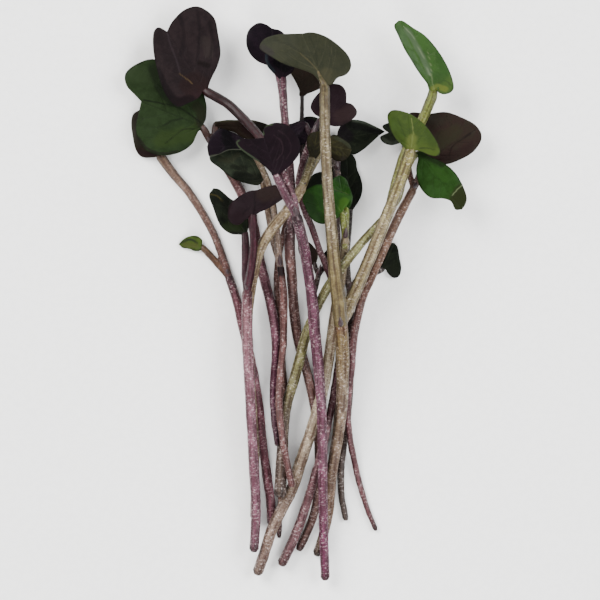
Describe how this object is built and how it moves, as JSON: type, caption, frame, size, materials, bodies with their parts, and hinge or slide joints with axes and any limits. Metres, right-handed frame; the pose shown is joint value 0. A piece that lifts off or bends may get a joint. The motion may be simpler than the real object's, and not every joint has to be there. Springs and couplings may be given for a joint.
{
  "type": "bunch of radish microgreens",
  "caption": "Loose bunch of cut radish microgreens lying down: slender pink and pale stems that fork into short stalks, each with a notched purple or green seed leaf.",
  "frame": {"origin": "centre of the bunch's bounding box in plan, on the surface it lies on", "axes": "+Y along the stems from their cut ends towards the leaves, +Z up from the surface, +X to the right as seen from above with +Y up"},
  "size_m": [0.0594, 0.0956, 0.0165],
  "materials": {
    "leaf_dark": "satin",
    "leaf_green": "satin",
    "leaf_grey": "matte",
    "leaf_purple": "satin",
    "stem_brown": "satin",
    "stem_pale": "satin",
    "stem_pink": "satin"
  },
  "bodies": {
    "root": {"sprout_01_leaf_a": "leaf_dark", "sprout_01_leaf_b": "leaf_dark", "sprout_01_stem": "stem_brown", "sprout_02_leaf_a": "leaf_dark", "sprout_02_leaf_b": "leaf_dark", "sprout_02_stem": "stem_brown", "sprout_03_leaf_a": "leaf_dark", "sprout_03_leaf_b": "leaf_dark", "sprout_03_stem": "stem_brown", "sprout_04_leaf_a": "leaf_purple", "sprout_04_leaf_b": "leaf_grey", "sprout_04_stem": "stem_brown", "sprout_05_leaf_a": "leaf_purple", "sprout_05_leaf_b": "leaf_green", "sprout_05_stem": "stem_pink", "sprout_06_leaf_a": "leaf_purple", "sprout_06_leaf_b": "leaf_purple", "sprout_06_stem": "stem_brown", "sprout_07_leaf_a": "leaf_purple", "sprout_07_leaf_b": "leaf_purple", "sprout_07_stem": "stem_brown", "sprout_08_leaf_a": "leaf_purple", "sprout_08_leaf_b": "leaf_dark", "sprout_08_stem": "stem_pink", "sprout_09_leaf_a": "leaf_green", "sprout_09_leaf_b": "leaf_green", "sprout_09_stem": "stem_pale", "sprout_10_leaf_a": "leaf_green", "sprout_10_leaf_b": "leaf_green", "sprout_10_stem": "stem_pale", "sprout_11_leaf_a": "leaf_green", "sprout_11_leaf_b": "leaf_dark", "sprout_11_stem": "stem_pink", "sprout_12_leaf_a": "leaf_dark", "sprout_12_leaf_b": "leaf_grey", "sprout_12_stem": "stem_pink", "sprout_13_leaf_a": "leaf_dark", "sprout_13_leaf_b": "leaf_dark", "sprout_13_stem": "stem_pale", "sprout_14_leaf_a": "leaf_purple", "sprout_14_leaf_b": "leaf_dark", "sprout_14_stem": "stem_pink", "sprout_15_leaf_a": "leaf_grey", "sprout_15_leaf_b": "leaf_green", "sprout_15_stem": "stem_pale", "sprout_16_leaf_a": "leaf_purple", "sprout_16_leaf_b": "leaf_purple", "sprout_16_stem": "stem_pink"}
  },
  "joints": []
}
